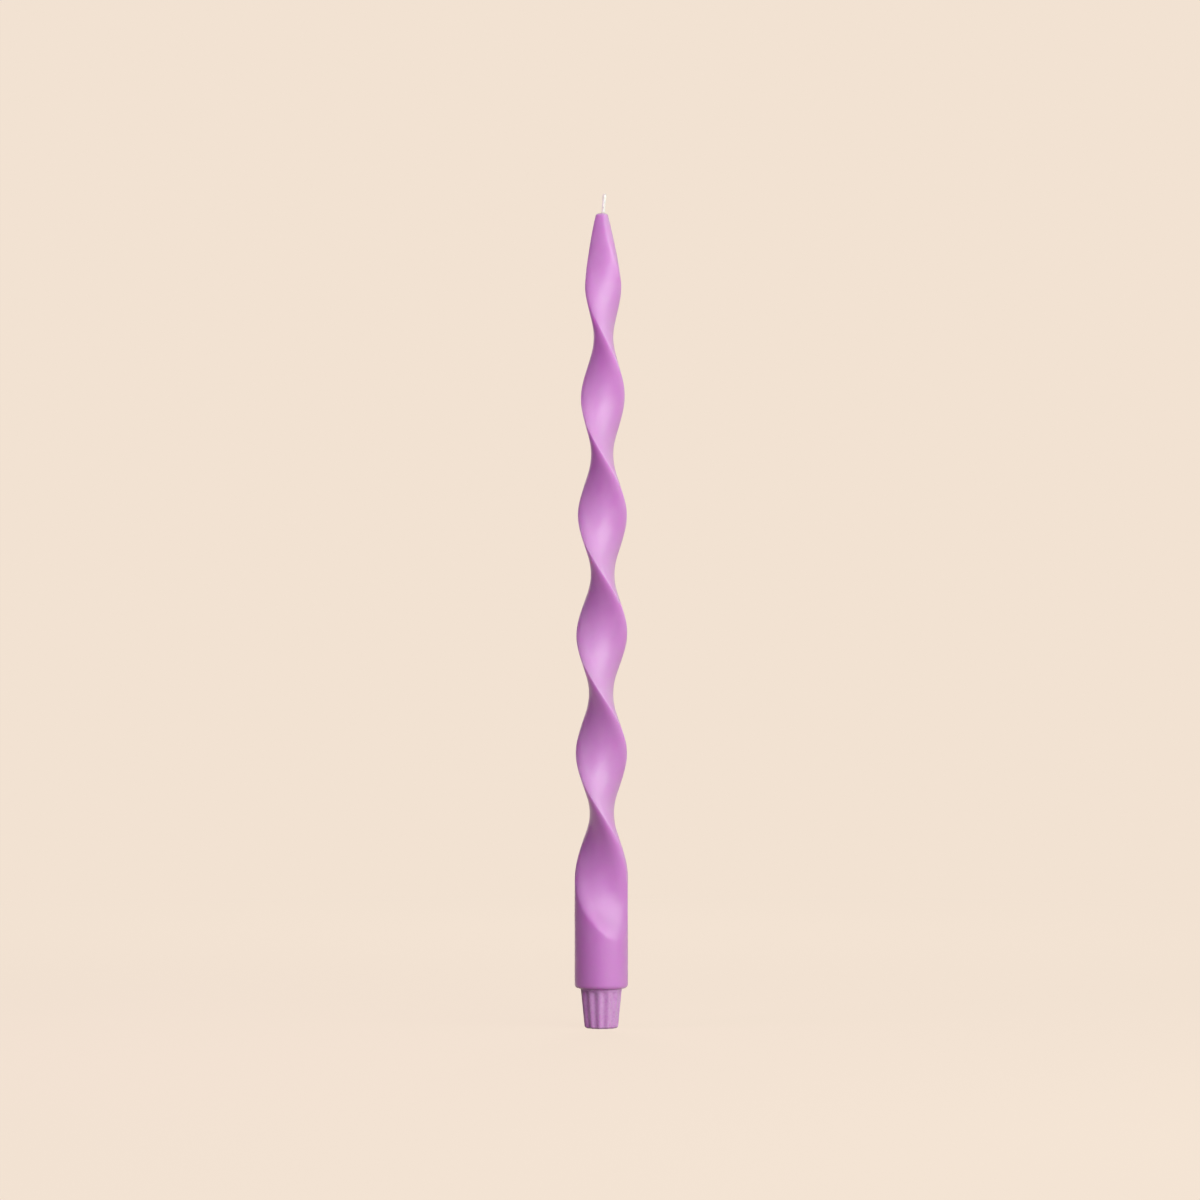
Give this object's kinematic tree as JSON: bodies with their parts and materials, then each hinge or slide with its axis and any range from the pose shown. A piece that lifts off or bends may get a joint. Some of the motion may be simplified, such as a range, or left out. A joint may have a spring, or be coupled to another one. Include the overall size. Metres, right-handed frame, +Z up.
{
  "type": "spiral candle",
  "caption": "Slender wax candle with a flat stem twisted to the left, a round base, a tapered fluted foot for a candle holder and a braided cotton wick.",
  "frame": {"origin": "middle of the foot's flat underside", "axes": "+Z up along the candle towards the wick, -Y towards the viewer, +X to the viewer's right"},
  "size_m": [0.022, 0.022, 0.3445],
  "materials": {
    "dyed_wax": "satin, candle wax dyed lilac through and through",
    "cotton_wick": "matte, braided cotton dipped in wax"
  },
  "bodies": {
    "root": {"wax_body": "dyed_wax", "wick": "cotton_wick"}
  },
  "joints": []
}
